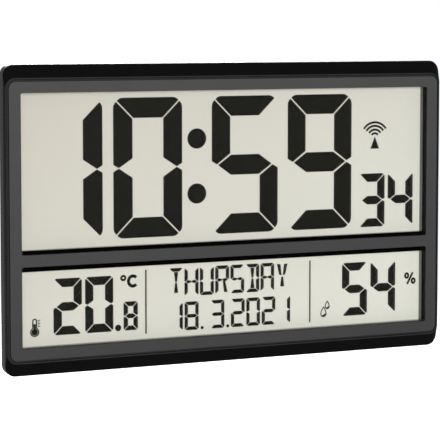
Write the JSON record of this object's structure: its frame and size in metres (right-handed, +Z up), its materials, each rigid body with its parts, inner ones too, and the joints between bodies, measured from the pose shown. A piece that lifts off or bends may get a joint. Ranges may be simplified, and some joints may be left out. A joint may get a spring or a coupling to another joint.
{
  "type": "radio-controlled wall clock",
  "caption": "Wide flat wall clock with a large time display over a weather and date display, rear set keys, sliding battery door and fold-out stand.",
  "frame": {"origin": "middle of the flat rear face that lies on the wall", "axes": "+X to the right seen from the front, +Z up, +Y into the wall; the displays face -Y"},
  "size_m": [0.36, 0.032, 0.23],
  "materials": {
    "case_black": "satin to gloss black moulded plastic",
    "facing_grey": "matte dark grey facing",
    "lens_clear": "clear acrylic sheet",
    "mask_black": "glossy black display holder",
    "lcd_glass": "reflective liquid crystal glass",
    "reflector_white": "pearl reflector sheet",
    "rear_black": "finely textured black moulded plastic",
    "key_grey": "grey key caps",
    "board_green": "solder-masked board",
    "chip_black": "epoxy and chip packages",
    "steel_bright": "plated steel",
    "screw_zinc": "black zinc screws",
    "ferrite_dark": "sintered ferrite",
    "copper_wire": "enamelled copper winding",
    "cell_wrap": "plain cell sleeve",
    "lead_red": "red lead",
    "lead_black": "black lead",
    "ribbon_grey": "grey flat lead",
    "zebra_pink": "elastomer connector"
  },
  "bodies": {
    "clock": {"front_housing": "case_black", "bezel_facing": "facing_grey", "window_lens": "lens_clear", "display_holder": "mask_black", "lcd_time": "lcd_glass", "lcd_weather": "lcd_glass", "lcd_time_reflector": "reflector_white", "lcd_weather_reflector": "reflector_white", "zebra_strip_time": "zebra_pink", "zebra_strip_weather": "zebra_pink", "rear_cover": "rear_black", "case_screws": "screw_zinc", "battery_cells": "cell_wrap", "battery_contacts": "steel_bright", "battery_link": "steel_bright", "battery_lead_negative": "lead_black", "battery_lead_positive": "lead_red", "stand_hinge_pin": "steel_bright", "tact_switches": "chip_black", "main_board": "board_green", "button_board": "board_green", "radio_board": "board_green", "sensor_board": "board_green", "main_board_screws": "screw_zinc", "small_board_screws": "screw_zinc", "controller_blob": "chip_black", "quartz_crystal": "steel_bright", "board_capacitors": "chip_black", "receiver_chip": "chip_black", "climate_sensor": "chip_black", "ferrite_rod": "ferrite_dark", "antenna_coil": "copper_wire", "button_ribbon": "ribbon_grey", "radio_ribbon": "ribbon_grey", "sensor_ribbon": "ribbon_grey"},
    "battery_door": {"battery_door": "rear_black"},
    "stand": {"stand_leg": "rear_black"},
    "set_key": {"set_button": "key_grey"},
    "plus_key": {"plus_button": "key_grey"},
    "minus_key": {"minus_button": "key_grey"},
    "signal_key": {"signal_button": "key_grey"}
  },
  "joints": [
    {"name": "battery_door_slide", "type": "slide", "parent": "clock", "child": "battery_door", "axis": [0, 0, 1], "range_m": [0, 0.045]},
    {"name": "stand_fold", "type": "hinge", "parent": "clock", "child": "stand", "pos_m": [0, -0.00245, -0.036], "axis": [1, 0, 0], "range_deg": [0, 35]},
    {"name": "set_key_press", "type": "slide", "parent": "clock", "child": "set_key", "axis": [0, -1, 0], "range_m": [0, 0.0008], "stiffness_N_per_m": 900},
    {"name": "plus_key_press", "type": "slide", "parent": "clock", "child": "plus_key", "axis": [0, -1, 0], "range_m": [0, 0.0008], "stiffness_N_per_m": 900},
    {"name": "minus_key_press", "type": "slide", "parent": "clock", "child": "minus_key", "axis": [0, -1, 0], "range_m": [0, 0.0008], "stiffness_N_per_m": 900},
    {"name": "signal_key_press", "type": "slide", "parent": "clock", "child": "signal_key", "axis": [0, -1, 0], "range_m": [0, 0.0008], "stiffness_N_per_m": 900}
  ]
}
